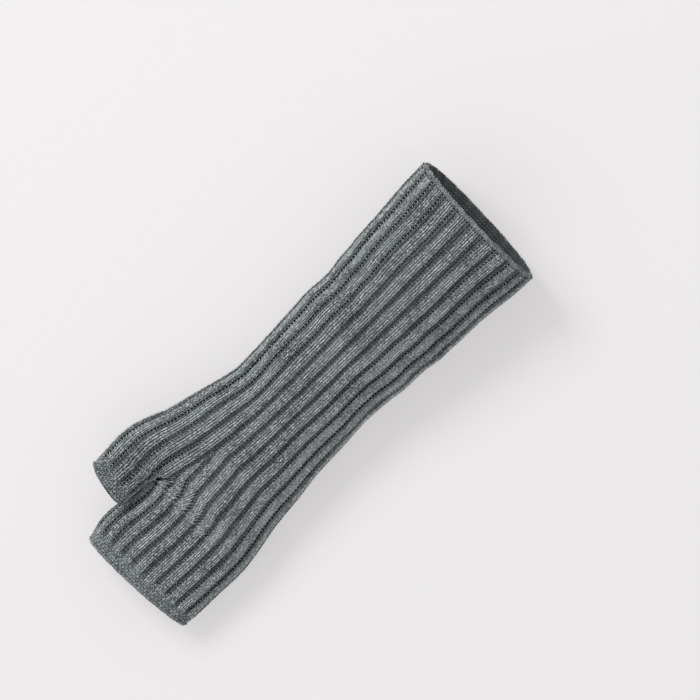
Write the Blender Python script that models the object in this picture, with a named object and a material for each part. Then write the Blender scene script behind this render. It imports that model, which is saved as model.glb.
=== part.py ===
"""Ribbed wool fingerless glove for the right hand, lying on its back in its worn shape.

The glove is a long ribbed knit tube from the forearm to the middle of the hand, with a short
thumb tube that branches off beside the palm. +Y runs up the arm, the thumb is on the -X side,
the palm faces +Z, and the back of the glove lies flat on z = 0. The origin is the middle of the
underside of the whole glove's box.

Sizes are in millimetres, and MM turns them into metres where the meshes are made.
"""
import math

import bmesh
import bpy
from mathutils import Vector

MM = 0.001

# ---- driving dimensions (mm) ----
GLOVE_LENGTH = 290.0      # hand opening to arm opening
WALL = 2.6                # thickness of the ribbed knit
GAP = 0.3                 # clearance between pieces that meet

HAND_OPENING_WIDTH = 75.0
HAND_OPENING_DEPTH = 33.0
KNUCKLE_LEVEL = 14.0      # widest place just above the hand opening
KNUCKLE_WIDTH = 78.4
KNUCKLE_DEPTH = 34.5
PALM_WIDTH = 77.4         # at the fork between thumb and hand
PALM_DEPTH = 36.0
PALM_CENTRE = 10.3        # how far the palm's middle lies to the little-finger side
WRIST_WIDTH = 75.2
WRIST_DEPTH = 49.0
FOREARM_WIDTH = 80.6
FOREARM_DEPTH = 58.0
ARM_OPENING_WIDTH = 90.8
ARM_OPENING_DEPTH = 72.0

FORK_LEVEL = 46.0         # where the thumb tube leaves the hand
THUMB_END_LEVEL = 31.0
THUMB_WIDTH = 28.8
THUMB_DEPTH = 25.0
THUMB_RISE = 10.0         # thumb's middle above the palm's middle at the fork
THUMB_OVERLAP = 1.2       # how far the thumb stands over the palm's edge, seen from above
THUMB_ROOT_LENGTH = 85.0  # from the fork to where the thumb's swelling has died out

UNDERSIDE_SINK = 1.5      # how much of the round underside is pressed flat
HAND_END_SLANT = 0.055    # rise of the opening's edge per mm across
ARM_END_SLANT = -0.025
THUMB_END_SLANT = -0.17

RIB_COUNT = 24
THUMB_RIB_COUNT = 8
RIB_RELIEF = 1.0
RIB_CREST = (0.22, 0.78)  # share of a rib's width where its crest starts and ends

HAND_WELT_HEIGHT = 8.0
THUMB_WELT_HEIGHT = 7.5
ARM_WELT_HEIGHT = 4.0
WELT_SWELL = 0.3          # how much fuller the bound-off edges are than the ribs' valleys

SEAM_RADIUS = 0.8
SEAM_SIDES = 8
TAIL_RADIUS = 0.6
TAIL_SWEEP = 40.0         # degrees round the opening that a darned-in yarn end covers
TAIL_DEPTH_IN = 5.0       # how far inside the opening's welt a yarn end is darned

LABEL_WIDTH = 16.0
LABEL_LENGTH = 22.0
LABEL_LEAF = 0.4          # thickness of one leaf of the folded label
LABEL_OPEN = 0.5          # space between its two leaves
LABEL_END = 7.0           # label's sewn end, in from the arm opening
STITCH_RADIUS = 0.25
STITCH_COUNT = 6

LOFT_STEP = 11.0          # distance between the rings of a lofted tube
RUN_PAST = 6.0            # how far a cutter runs past the openings

KNIT_COLOUR = (0.125, 0.138, 0.143, 1.0)
WELT_COLOUR = (0.110, 0.122, 0.128, 1.0)
SEAM_COLOUR = (0.090, 0.100, 0.105, 1.0)
LABEL_COLOUR = (0.80, 0.79, 0.76, 1.0)
THREAD_COLOUR = (0.70, 0.70, 0.68, 1.0)


# ---- shape of the two tubes ----
def trunk_stations():
    """(level, centre x, width, depth, slant) of the hand and arm tube, from the hand end."""
    arm = GLOVE_LENGTH - FORK_LEVEL
    return [
        (0.0, PALM_CENTRE, HAND_OPENING_WIDTH, HAND_OPENING_DEPTH, HAND_END_SLANT),
        (KNUCKLE_LEVEL, PALM_CENTRE - 0.9, KNUCKLE_WIDTH, KNUCKLE_DEPTH, HAND_END_SLANT * 0.8),
        (FORK_LEVEL, PALM_CENTRE, PALM_WIDTH, PALM_DEPTH, 0.0),
        (FORK_LEVEL + 0.174 * arm, PALM_CENTRE * 0.5, (PALM_WIDTH + WRIST_WIDTH) / 2.0,
         PALM_DEPTH * 0.6 + WRIST_DEPTH * 0.4, 0.0),
        (FORK_LEVEL + 0.43 * arm, -0.2, WRIST_WIDTH, WRIST_DEPTH, 0.0),
        (FORK_LEVEL + 0.666 * arm, 0.2, FOREARM_WIDTH, FOREARM_DEPTH, 0.0),
        (GLOVE_LENGTH, -0.3, ARM_OPENING_WIDTH, ARM_OPENING_DEPTH, ARM_END_SLANT),
    ]


def thumb_stations():
    """(level, centre x, width, depth, centre z, slant) of the thumb tube and its root."""
    palm_edge = PALM_CENTRE - PALM_WIDTH / 2.0
    at_fork = palm_edge + THUMB_OVERLAP - THUMB_WIDTH / 2.0
    middle = PALM_DEPTH / 2.0 + THUMB_RISE
    root = THUMB_ROOT_LENGTH
    return [
        (THUMB_END_LEVEL, at_fork + 0.4, THUMB_WIDTH, THUMB_DEPTH, middle + 2.5, THUMB_END_SLANT),
        (FORK_LEVEL, at_fork, THUMB_WIDTH + 1.6, THUMB_DEPTH + 1.5, middle,
         THUMB_END_SLANT * 0.4),
        (FORK_LEVEL + 0.14 * root, at_fork + 1.1, THUMB_WIDTH + 4.2, THUMB_DEPTH + 3.5,
         middle - 1.5, 0.0),
        (FORK_LEVEL + 0.29 * root, at_fork + 5.1, THUMB_WIDTH + 7.2, THUMB_DEPTH + 6.0,
         middle - 3.0, 0.0),
        (FORK_LEVEL + 0.50 * root, at_fork + 12.6, THUMB_WIDTH + 8.4, THUMB_DEPTH + 8.5,
         middle - 4.0, 0.0),
        (FORK_LEVEL + 0.73 * root, at_fork + 17.1, THUMB_WIDTH + 6.7, THUMB_DEPTH + 9.5,
         middle - 4.5, 0.0),
        (FORK_LEVEL + root, at_fork + 20.6, THUMB_WIDTH + 2.2, THUMB_DEPTH + 8.0,
         middle - 4.0, 0.0),
    ]


def smooth_between(stations, level):
    """The stations' values at a level, on a smooth curve through all of them."""
    last = len(stations) - 1
    index = 0
    while index < last - 1 and level > stations[index + 1][0]:
        index += 1
    before = stations[max(index - 1, 0)]
    low, high = stations[index], stations[index + 1]
    after = stations[min(index + 2, last)]
    span = high[0] - low[0]
    t = min(max((level - low[0]) / span, 0.0), 1.0)
    values = []
    for k in range(1, len(low)):
        slope_low = (high[k] - before[k]) / (high[0] - before[0]) * span
        slope_high = (after[k] - low[k]) / (after[0] - low[0]) * span
        values.append(
            (2 * t**3 - 3 * t**2 + 1) * low[k] + (t**3 - 2 * t**2 + t) * slope_low
            + (3 * t**2 - 2 * t**3) * high[k] + (t**3 - t**2) * slope_high)
    return values


def even_angles(half_width, half_depth, shares):
    """Angles of an ellipse at the given shares of its outline's length."""
    steps = 720
    lengths = [0.0]
    for i in range(steps):
        middle = (i + 0.5) * math.tau / steps
        run = math.hypot(half_width * math.sin(middle), half_depth * math.cos(middle))
        lengths.append(lengths[-1] + run)
    angles = []
    i = 0
    for share in shares:
        target = share * lengths[-1]
        while i < steps - 1 and lengths[i + 1] < target:
            i += 1
        part = (target - lengths[i]) / (lengths[i + 1] - lengths[i])
        angles.append((i + part) * math.tau / steps)
    return angles


def rib_shares(ribs):
    """Shares of an outline where a rib's valley, crest start and crest end lie, with lifts."""
    shares, lifts = [], []
    for rib in range(ribs):
        for place, lift in ((0.0, 0.0), (RIB_CREST[0], RIB_RELIEF), (RIB_CREST[1], RIB_RELIEF)):
            shares.append((rib + place) / ribs)
            lifts.append(lift)
    return shares, lifts


def oval(level, slant, centre, half_width, half_depth, floor, ribs, lifted):
    """One ring of a tube: an oval in a slightly slanted plane, kept above a floor height."""
    shares, lifts = rib_shares(ribs)
    points = []
    for angle, lift in zip(even_angles(half_width, half_depth, shares), lifts):
        rise = (lift - RIB_RELIEF) if lifted else 0.0
        x = centre[0] + (half_width + rise) * math.cos(angle)
        z = max(centre[1] + (half_depth + rise) * math.sin(angle), floor)
        points.append(Vector((x, level + slant * (x - centre[0]), z)))
    return points


def trunk_ring(level, inset, lifted=False):
    """A ring of the hand and arm tube, inset from its outside."""
    station = min(max(level, 0.0), GLOVE_LENGTH)
    centre_x, width, depth, slant = smooth_between(trunk_stations(), station)
    half_depth = (depth + UNDERSIDE_SINK) / 2.0
    centre = (centre_x, depth - half_depth)
    return oval(level, slant, centre, width / 2.0 - inset, half_depth - inset, inset,
                RIB_COUNT, lifted)


def thumb_ring(level, inset, lifted=False):
    """A ring of the thumb tube, inset from its outside."""
    station = min(max(level, THUMB_END_LEVEL), FORK_LEVEL + THUMB_ROOT_LENGTH)
    centre_x, width, depth, centre_z, slant = smooth_between(thumb_stations(), station)
    return oval(level, slant, (centre_x, centre_z), width / 2.0 - inset, depth / 2.0 - inset,
                inset, THUMB_RIB_COUNT, lifted)


def levels_between(low, high):
    """Levels from low to high, evenly spaced by about one loft step."""
    count = max(1, round((high - low) / LOFT_STEP))
    return [low + (high - low) * i / count for i in range(count + 1)]


# ---- mesh helpers ----
def plain_material(name, colour, roughness):
    material = bpy.data.materials.new(name)
    material.use_nodes = True
    shader = material.node_tree.nodes["Principled BSDF"]
    shader.inputs["Base Color"].default_value = colour
    shader.inputs["Roughness"].default_value = roughness
    shader.inputs["Metallic"].default_value = 0.0
    return material


def finish_object(name, bm, material):
    """Turns a bmesh in millimetres into a named object in metres."""
    bmesh.ops.scale(bm, vec=(MM, MM, MM), verts=bm.verts)
    bmesh.ops.recalc_face_normals(bm, faces=bm.faces)
    mesh = bpy.data.meshes.new(name)
    bm.to_mesh(mesh)
    bm.free()
    if material is not None:
        mesh.materials.append(material)
    mesh.shade_smooth()
    mesh.set_sharp_from_angle(angle=math.radians(35.0))
    piece = bpy.data.objects.new(name, mesh)
    bpy.context.scene.collection.objects.link(piece)
    return piece


def add_rings(bm, rings):
    return [[bm.verts.new(point) for point in ring] for ring in rings]


def skin_rings(bm, rows):
    for low, high in zip(rows, rows[1:]):
        count = len(low)
        for i in range(count):
            j = (i + 1) % count
            bm.faces.new((low[i], low[j], high[j], high[i]))


def solid_loft(name, rings, material=None):
    """A closed solid through a run of rings, with flat ends."""
    bm = bmesh.new()
    rows = add_rings(bm, rings)
    skin_rings(bm, rows)
    bm.faces.new(rows[0])
    bm.faces.new(rows[-1])
    return finish_object(name, bm, material)


def sleeve(name, outer_rings, inner_rings, material):
    """A closed tube wall between an outer and an inner run of rings."""
    bm = bmesh.new()
    outer = add_rings(bm, outer_rings)
    inner = add_rings(bm, inner_rings)
    skin_rings(bm, outer)
    skin_rings(bm, inner)
    skin_rings(bm, [outer[0], inner[0]])
    skin_rings(bm, [outer[-1], inner[-1]])
    return finish_object(name, bm, material)


def thread(name, points, radius, sides, material):
    """A closed round thread along a run of points, with flat ends."""
    bm = bmesh.new()
    rings = []
    for i, point in enumerate(points):
        ahead = points[min(i + 1, len(points) - 1)]
        behind = points[max(i - 1, 0)]
        along = (ahead - behind).normalized()
        side = along.cross(Vector((0.0, 0.0, 1.0)))
        if side.length < 0.1:
            side = along.cross(Vector((1.0, 0.0, 0.0)))
        side.normalize()
        other = along.cross(side).normalized()
        rings.append([
            point + radius * (math.cos(k * math.tau / sides) * side
                              + math.sin(k * math.tau / sides) * other)
            for k in range(sides)])
    rows = add_rings(bm, rings)
    skin_rings(bm, rows)
    bm.faces.new(rows[0])
    bm.faces.new(rows[-1])
    return finish_object(name, bm, material)


def cut_or_join(target, tool, operation):
    """Adds an exact Boolean with a tool that stays hidden from renders."""
    modifier = target.modifiers.new(tool.name, "BOOLEAN")
    modifier.operation = operation
    modifier.solver = "EXACT"
    modifier.object = tool
    tool.hide_render = True
    tool.display_type = "WIRE"


# ---- the pieces ----
def rib_body(material):
    """The ribbed tube from above the hand welt to below the arm welt, with the thumb's root."""
    low = HAND_WELT_HEIGHT + GAP
    high = GLOVE_LENGTH - ARM_WELT_HEIGHT - GAP
    body = solid_loft("rib_body", [trunk_ring(level, 0.0, True)
                                   for level in levels_between(low, high)], material)
    root_low = FORK_LEVEL + GAP / 2.0
    root_high = FORK_LEVEL + THUMB_ROOT_LENGTH
    root = solid_loft("thumb_root_shape", [thumb_ring(level, 0.0, True)
                                           for level in levels_between(root_low, root_high)])
    hollow = solid_loft("trunk_hollow_shape", [
        trunk_ring(level, WALL) for level in
        [-RUN_PAST] + levels_between(0.0, GLOVE_LENGTH) + [GLOVE_LENGTH + RUN_PAST]])
    thumb_hollow = solid_loft("thumb_hollow_shape", [
        thumb_ring(level, WALL) for level in
        [FORK_LEVEL - RUN_PAST] + levels_between(root_low, root_high - WALL)])
    cut_or_join(body, root, "UNION")
    cut_or_join(body, hollow, "DIFFERENCE")
    cut_or_join(body, thumb_hollow, "DIFFERENCE")
    return body


def trunk_sleeve(name, low, high, inset, material):
    levels = levels_between(low, high)
    return sleeve(name, [trunk_ring(level, inset) for level in levels],
                  [trunk_ring(level, WALL) for level in levels], material)


def thumb_part(name, low, high, inset, lifted, material):
    levels = levels_between(low, high)
    return sleeve(name, [thumb_ring(level, inset, lifted) for level in levels],
                  [thumb_ring(level, WALL) for level in levels], material)


def welts(material):
    """The three dense bound-off edges: hand opening, thumb opening and arm opening."""
    inset = RIB_RELIEF - WELT_SWELL
    return [
        trunk_sleeve("hand_welt", 0.0, HAND_WELT_HEIGHT, inset, material),
        trunk_sleeve("arm_welt", GLOVE_LENGTH - ARM_WELT_HEIGHT, GLOVE_LENGTH, 0.0, material),
        thumb_part("thumb_welt", THUMB_END_LEVEL, THUMB_END_LEVEL + THUMB_WELT_HEIGHT, inset,
                   False, material),
    ]


def thumb_sleeve(material):
    low = THUMB_END_LEVEL + THUMB_WELT_HEIGHT + GAP
    return thumb_part("thumb_sleeve", low, FORK_LEVEL - GAP / 2.0, 0.0, True, material)


def inner_wall_point(ring, turn_degrees, inset):
    """A point just inside a ring, at an angle from +X, inset towards the ring's middle."""
    middle = sum(ring, Vector()) / len(ring)
    turn = math.radians(turn_degrees)
    aim = Vector((math.cos(turn), 0.0, math.sin(turn)))
    nearest = max(ring, key=lambda p: Vector((p.x - middle.x, 0.0, p.z - middle.z))
                  .normalized().dot(aim))
    reach = math.hypot(nearest.x - middle.x, nearest.z - middle.z)
    spot = middle + (nearest - middle) * ((reach - inset) / reach)
    return Vector((spot.x, nearest.y, spot.z))


def side_seam(material):
    """The linking seam that closes the knit tube, a small ridge inside the little-finger edge."""
    inset = SEAM_RADIUS + GAP + 0.2
    levels = levels_between(HAND_WELT_HEIGHT, GLOVE_LENGTH - ARM_WELT_HEIGHT)
    points = [inner_wall_point(trunk_ring(level, WALL), 0.0, inset) for level in levels]
    return thread("side_seam", points, SEAM_RADIUS, SEAM_SIDES, material)


def thumb_seam(material):
    """The linking seam inside the thumb tube, on the side away from the palm."""
    inset = SEAM_RADIUS + GAP + 0.2
    high = FORK_LEVEL + 0.14 * THUMB_ROOT_LENGTH
    count = 6
    low = THUMB_END_LEVEL + 1.0
    points = [inner_wall_point(thumb_ring(low + (high - low) * i / count, WALL), 180.0, inset)
              for i in range(count + 1)]
    return thread("thumb_seam", points, SEAM_RADIUS, SEAM_SIDES, material)


def yarn_tail(name, ring, start_degrees, sweep, material):
    """A yarn end darned in along the inside of an opening."""
    inset = TAIL_RADIUS + GAP + 0.5
    count = 8
    points = [inner_wall_point(ring, start_degrees + sweep * i / count, inset)
              for i in range(count + 1)]
    return thread(name, even_run(points), TAIL_RADIUS, SEAM_SIDES, material)


def even_run(points):
    """The points without repeats."""
    kept = [points[0]]
    for point in points[1:]:
        if (point - kept[-1]).length > TAIL_RADIUS:
            kept.append(point)
    return kept


def yarn_tails(material):
    return [
        yarn_tail("hand_yarn_tail", trunk_ring(HAND_WELT_HEIGHT + TAIL_DEPTH_IN, WALL),
                  20.0, TAIL_SWEEP, material),
        yarn_tail("arm_yarn_tail",
                  trunk_ring(GLOVE_LENGTH - ARM_WELT_HEIGHT - TAIL_DEPTH_IN, WALL),
                  -20.0, -TAIL_SWEEP, material),
        yarn_tail("thumb_yarn_tail",
                  thumb_ring(THUMB_END_LEVEL + THUMB_WELT_HEIGHT / 2.0, WALL),
                  100.0, 1.5 * TAIL_SWEEP, material),
    ]


def label_place():
    """Where the label's sewn end sits: beside the side seam, just inside the arm opening."""
    level = GLOVE_LENGTH - LABEL_END
    edges = []
    for station in (level, level - LABEL_LENGTH):
        centre_x, width, depth, slant = smooth_between(trunk_stations(), station)
        half_depth = (depth + UNDERSIDE_SINK) / 2.0 - WALL
        bow = math.sqrt(1.0 - (LABEL_WIDTH / 2.0 / half_depth) ** 2)
        edges.append((centre_x + (width / 2.0 - WALL) * bow, depth / 2.0))
    clear = 2.0 * SEAM_RADIUS + 3.0 * GAP
    return Vector((min(edges)[0] - clear, level, edges[0][1]))


def care_label(material):
    """A plain satin label, folded in two with its fold towards the hand."""
    place = label_place()
    thick = 2.0 * LABEL_LEAF + LABEL_OPEN
    outer_r, inner_r = thick / 2.0, LABEL_OPEN / 2.0
    straight = LABEL_LENGTH - outer_r
    arc_steps = 6
    outline = [(0.0, 0.0), (0.0, -straight)]
    for i in range(1, arc_steps):
        turn = math.pi * i / arc_steps
        outline.append((-outer_r + outer_r * math.cos(turn), -straight - outer_r * math.sin(turn)))
    outline += [(-thick, -straight), (-thick, 0.0), (-thick + LABEL_LEAF, 0.0),
                (-thick + LABEL_LEAF, -straight)]
    for i in range(1, arc_steps):
        turn = math.pi * (1.0 - i / arc_steps)
        outline.append((-outer_r + inner_r * math.cos(turn), -straight - inner_r * math.sin(turn)))
    outline += [(-LABEL_LEAF, -straight), (-LABEL_LEAF, 0.0)]
    bm = bmesh.new()
    rows = []
    for side in (-0.5, 0.5):
        rows.append([bm.verts.new((place.x + x, place.y + y, place.z + side * LABEL_WIDTH))
                     for x, y in outline])
    skin_rings(bm, rows)
    bm.faces.new(rows[0])
    bm.faces.new(rows[1])
    return finish_object("care_label", bm, material)


def label_stitches(material):
    """The zigzag thread that holds the label's sewn end."""
    place = label_place()
    thick = 2.0 * LABEL_LEAF + LABEL_OPEN
    x = place.x - thick - STITCH_RADIUS - GAP
    points = []
    for i in range(STITCH_COUNT + 1):
        z = place.z + LABEL_WIDTH * (i / STITCH_COUNT - 0.5) * 0.85
        y = place.y - (1.2 if i % 2 else 2.6)
        points.append(Vector((x, y, z)))
    return thread("label_stitches", points, STITCH_RADIUS, 6, material)


def centre_under(pieces):
    """Parents the pieces to an empty that brings their box's bottom centre to the origin."""
    bpy.context.view_layer.update()
    corners = [piece.matrix_world @ vertex.co for piece in pieces
               for vertex in piece.data.vertices]
    low = Vector([min(corner[k] for corner in corners) for k in range(3)])
    high = Vector([max(corner[k] for corner in corners) for k in range(3)])
    base = bpy.data.objects.new("glove_base", None)
    bpy.context.scene.collection.objects.link(base)
    base.location = (-(low.x + high.x) / 2.0, -(low.y + high.y) / 2.0, -low.z)
    for piece in bpy.context.scene.objects:
        if piece is not base:
            piece.parent = base


def main():
    for piece in list(bpy.data.objects):
        bpy.data.objects.remove(piece, do_unlink=True)
    knit = plain_material("charcoal_rib_knit", KNIT_COLOUR, 0.95)
    welt = plain_material("charcoal_welt_knit", WELT_COLOUR, 0.95)
    seam = plain_material("charcoal_yarn", SEAM_COLOUR, 0.9)
    satin = plain_material("label_satin", LABEL_COLOUR, 0.45)
    sewing = plain_material("sewing_thread", THREAD_COLOUR, 0.6)
    pieces = [rib_body(knit), thumb_sleeve(knit)]
    pieces += welts(welt)
    pieces += [side_seam(seam), thumb_seam(seam)]
    pieces += yarn_tails(seam)
    pieces += [care_label(satin), label_stitches(sewing)]
    sizes_from = [piece for piece in pieces if piece.name != "rib_body"]
    sizes_from.append(bpy.data.objects["thumb_root_shape"])
    sizes_from.append(pieces[0])
    centre_under(sizes_from)


main()
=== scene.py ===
import math

import bmesh
import bpy
import numpy as np
from mathutils import Matrix, Vector


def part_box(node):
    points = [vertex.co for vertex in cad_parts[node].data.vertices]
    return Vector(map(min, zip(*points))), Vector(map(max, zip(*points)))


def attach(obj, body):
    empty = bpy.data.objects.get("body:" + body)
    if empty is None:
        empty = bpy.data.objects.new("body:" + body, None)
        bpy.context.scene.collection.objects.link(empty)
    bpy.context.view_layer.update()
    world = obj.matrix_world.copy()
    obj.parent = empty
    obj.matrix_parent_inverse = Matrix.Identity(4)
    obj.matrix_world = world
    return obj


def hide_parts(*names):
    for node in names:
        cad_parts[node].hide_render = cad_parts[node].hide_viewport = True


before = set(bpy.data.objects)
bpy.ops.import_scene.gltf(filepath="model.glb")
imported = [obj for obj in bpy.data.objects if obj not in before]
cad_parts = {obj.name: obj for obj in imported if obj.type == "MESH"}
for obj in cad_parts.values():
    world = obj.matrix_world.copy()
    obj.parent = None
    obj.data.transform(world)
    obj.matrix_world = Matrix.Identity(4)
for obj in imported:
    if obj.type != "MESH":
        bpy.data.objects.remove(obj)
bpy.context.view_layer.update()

# Lengths are in millimetres, and MM turns them into metres where meshes are made.
# A level is the distance up the arm from the hand opening.
MM = 0.001

# ---- the glove's shape ----
GLOVE_LENGTH = 290.0
FORK_LEVEL = 46.0          # where the thumb tube leaves the hand
THUMB_END_LEVEL = 31.0
MEET_LEVEL = 49.0          # the two round tubes touch just below this level
BLEND_LENGTH = 8.0         # above it, over which the two tubes grow together
LEVEL_STEP = 2.0           # between the rows of the charts
THUMB_CHART_START = 30.0
SINK = 1.5                 # how much of the round underside is pressed flat
FILLET = 2.4               # softness of the whole outline
WEB_FILLET = 7.0           # softness of the web of knit between thumb and palm
WEB_REACH = 13.0           # how far round the outline that web spreads
WEB_START = 16.0           # above the meeting level, over which the web grows
WEB_END, WEB_FADE = 130.0, 35.0
TOP_PULL = (8.0, 7.0)      # above the meeting level: where the crease lets go, and how softly
BOTTOM_PULL = (42.0, 35.0)
PULLED_WALES = 8.0         # wales over which the two parts' ends are drawn together
OUTLINE_POINTS = 1440
HAND_COLUMNS = 192         # columns of the palm and arm chart
THUMB_COLUMNS = 96

# level, centre across, width, depth, slant of the row
TRUNK = [
    (0.0, 10.3, 75.0, 33.0, 0.055),
    (14.0, 9.4, 78.4, 34.5, 0.044),
    (46.0, 10.3, 77.4, 36.0, 0.0),
    (88.5, 5.15, 76.3, 41.2, 0.0),
    (150.9, -0.2, 75.2, 49.0, 0.0),
    (208.5, 0.2, 80.6, 58.0, 0.0),
    (290.0, -0.3, 90.8, 72.0, -0.025),
]
# level, centre across, width, depth, slant, centre height
THUMB = [
    (31.0, -41.2, 28.8, 25.0, -0.17, 30.5),
    (46.0, -41.6, 30.4, 26.5, -0.068, 28.0),
    (57.9, -40.5, 33.0, 28.5, 0.0, 26.5),
    (70.65, -36.5, 36.0, 31.0, 0.0, 25.0),
    (88.5, -29.0, 37.2, 33.5, 0.0, 24.0),
    (108.05, -24.5, 35.5, 34.5, 0.0, 23.5),
    (131.0, -21.0, 33.0, 33.0, 0.0, 24.0),
]
HAND_CROTCH_TURN = math.radians(165.0)    # where the closed hand ring starts, facing the thumb
THUMB_CROTCH_TURN = math.radians(-25.0)

# ---- the rib knit ----
RIB_WALES = 6              # four knit columns and two purl columns
TRUNK_WALES = 96           # on the hand's side of the thumb line, above the gusset
THUMB_WALES = 48
HAND_EDGE_WALE = 53.0      # the wale on the hand part's outer side
THUMB_EDGE_WALE = 27.5
PALM_GUSSET_LEVELS = (49.0, 51.5, 56.0, 64.5, 76.5, 92.0)
PALM_GUSSET_WALES = (17.0, 12.5, 8.2, 4.5, 2.5, 0.0)     # added at the palm's thumb line
BACK_GUSSET_LEVELS = (49.0, 56.0, 66.0)
BACK_GUSSET_WALES = (7.0, 3.0, 0.0)
THUMB_LINE_LEVELS = (50.0, 54.5, 64.5, 74.5, 84.5, 94.5, 104.5, 120.0, 155.0, 288.0)
THUMB_LINE_ACROSS = (-21.0, -18.8, -16.3, -14.4, -12.8, -11.5, -10.4, -9.6, -8.7, -11.9)
COURSE = 2.1               # height of one course
POINTS_PER_LOOP = 8
YARN_RADIUS = 0.27
LEG_LEAN = 0.10            # how far a loop's two legs stand together, in wales
YARN_SIDES = 4
YARN_SINK = 0.45           # yarn's middle below the chart's surface, on a rib's crest
LOOP_WIDTH = 0.19          # sideways swing of a loop, in wales
LOOP_HEIGHT = 0.95         # half height of a loop, in courses
LOOP_DEPTH = 0.36
PURL_HOLLOW_PAINTED_SHADE = 0.6           # painted shade: how much darker the purl columns' hollows are coloured
LOOP_PAINTED_SHADE = 0.85          # and painted shade on the loops' heads and feet, which lie behind their legs
HAND_WELT = 8.0
THUMB_WELT = 7.5
WELT_COURSE = 1.55
WELT_LOOP_HEIGHT = 0.75
WELT_START = 0.8           # the welt's first course, from the tube's end
EDGE_SINK = 1.0            # the bound-off chain, below the chart's surface
EDGE_RISE = 0.2            # and past the edge
WELT_EDGE_WIDTH = 1.9
ARM_EDGE_WIDTH = 1.6
RELIEF_LEVELS = (0.0, 60.0, 150.0, 230.0, 282.0, 290.0)
RELIEF_DEPTHS = (2.3, 2.4, 2.7, 2.6, 2.2, 0.9)
WELT_RELIEF = 0.15         # share of the ribs' relief left at the hand's and thumb's ends
SHOULDER, SLOPE = 0.55, 1.2        # wales from a valley to its slope's foot, and up the slope
CREST_DOME = 0.3
GATHER = 1.4               # half width of the hollow along the thumb line, in wales
KNIT_SHARE_LEVELS = (0.0, 8.0, 20.0, 60.0, 110.0, 165.0, 205.0, 250.0, 290.0)
KNIT_SHARES = (0.62, 0.63, 0.63, 0.64, 0.68, 0.71, 0.69, 0.62, 0.56)
BACKING_TOP = 1.0          # backing's outside below the chart's surface
BACKING_BOTTOM = 1.9
INNER_RELIEF = 0.75        # backing's inside relief as a share of its outside's
OUTSIDE_LOWEST = 0.35      # height of the two walls over the plane that the glove lies on
INSIDE_LOWEST = 1.3
MAP_PLACES = {"hand": (0.0, 0.64), "thumb": (0.66, 0.32)}  # start and width in the map
MAP_TALL, MAP_EDGE = 0.49, 0.005
RIM_BASE, RIM_STEP, RIM_WIDE = 0.985, 0.003, 0.0025
BAND_COURSES = 17          # courses in one piece of knit

# ---- seams, yarn ends and label ----
SEAM_STITCH = 2.2
SEAM_WIDTH = 1.3
SEAM_INSET = 4.8           # from the outside of the tube
PLY_RADIUS = 0.30
PLY_LAY = 3.4
TAIL_SWEEP = 40.0          # degrees round the opening
LABEL_LEAF = 0.25
LABEL_FOLD = 0.5
LABEL_STITCHES = 7
THREAD_RADIUS = 0.22
ASIDE = (0.31, 0.22, 0.93)  # a direction that no yarn path follows

# ---- colours: the wools' dark, middle and light flecks ----
RIB_FLECKS = ((0.035, 0.042, 0.046), (0.46, 0.51, 0.525), (0.90, 0.94, 0.95))
WELT_FLECKS = ((0.050, 0.060, 0.065), (0.41, 0.452, 0.47), (0.80, 0.85, 0.86))
SEAM_FLECKS = ((0.035, 0.040, 0.042), (0.11, 0.122, 0.127), (0.34, 0.36, 0.37))
# The web's flecks are far darker than the rib's: painted shade for the deep gaps between the loops,
# where the backing's outside shows.
WEB_GAP_SHADE_FLECKS = ((0.010, 0.012, 0.013), (0.040, 0.046, 0.049), (0.13, 0.14, 0.15))
WEB_INSIDE = (0.20, 0.228, 0.237)

arm_box_low, arm_box_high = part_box("arm_welt")
SHIFT_X = (arm_box_low.x + arm_box_high.x) / 2.0 / MM - TRUNK[-1][1]
SHIFT_Y = (arm_box_low.y + arm_box_high.y) / 2.0 / MM - (GLOVE_LENGTH - 2.0)
SHIFT = np.array([SHIFT_X, SHIFT_Y, 0.0])      # from the charts' places to the frame's


# ---- small helpers ----
def unit(vectors):
    """The same directions at length one."""
    return vectors / np.linalg.norm(vectors, axis=-1, keepdims=True)


def runs_along(points):
    """Distance along a line to each of its points."""
    return np.concatenate([[0.0], np.cumsum(np.linalg.norm(np.diff(points, axis=0), axis=1))])


def columns_at(points, where, places):
    """Points read from a line of points at some places, between their neighbours."""
    return np.stack([np.interp(places, where, points[:, k]) for k in range(points.shape[1])],
                    axis=1)


def in_scene(name, data):
    """A new object that holds a mesh, light or camera, linked into the scene."""
    made = bpy.data.objects.new(name, data)
    bpy.context.scene.collection.objects.link(made)
    return made


def plain_mesh(name, bm, material):
    """Turns a bmesh into a smooth mesh with its faces outward."""
    bmesh.ops.recalc_face_normals(bm, faces=bm.faces)
    mesh = bpy.data.meshes.new(name)
    bm.to_mesh(mesh)
    bm.free()
    mesh.materials.append(material)
    mesh.shade_smooth()
    return mesh


# ---- charts of the surface ----
def smooth_between(stations, level):
    """The stations' values at a level, on a smooth curve through all of them."""
    last = len(stations) - 1
    index = 0
    while index < last - 1 and level > stations[index + 1][0]:
        index += 1
    before = np.array(stations[max(index - 1, 0)])
    low, high = np.array(stations[index]), np.array(stations[index + 1])
    after = np.array(stations[min(index + 2, last)])
    span = high[0] - low[0]
    t = min(max((level - low[0]) / span, 0.0), 1.0)
    slope_low = (high - before) / (high[0] - before[0]) * span
    slope_high = (after - low) / (after[0] - low[0]) * span
    value = ((2 * t**3 - 3 * t**2 + 1) * low + (t**3 - 2 * t**2 + t) * slope_low
             + (3 * t**2 - 2 * t**3) * high + (t**3 - t**2) * slope_high)
    return value[1:]


def smoothstep(x):
    x = np.clip(x, 0.0, 1.0)
    return x * x * (3.0 - 2.0 * x)


def trunk_oval(level):
    """Centre and half sizes of the hand and arm tube's oval, and its row's slant."""
    across, width, depth, slant = smooth_between(TRUNK, level)
    half_depth = (depth + SINK) / 2.0
    return (across, depth - half_depth), (width / 2.0, half_depth), slant


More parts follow.
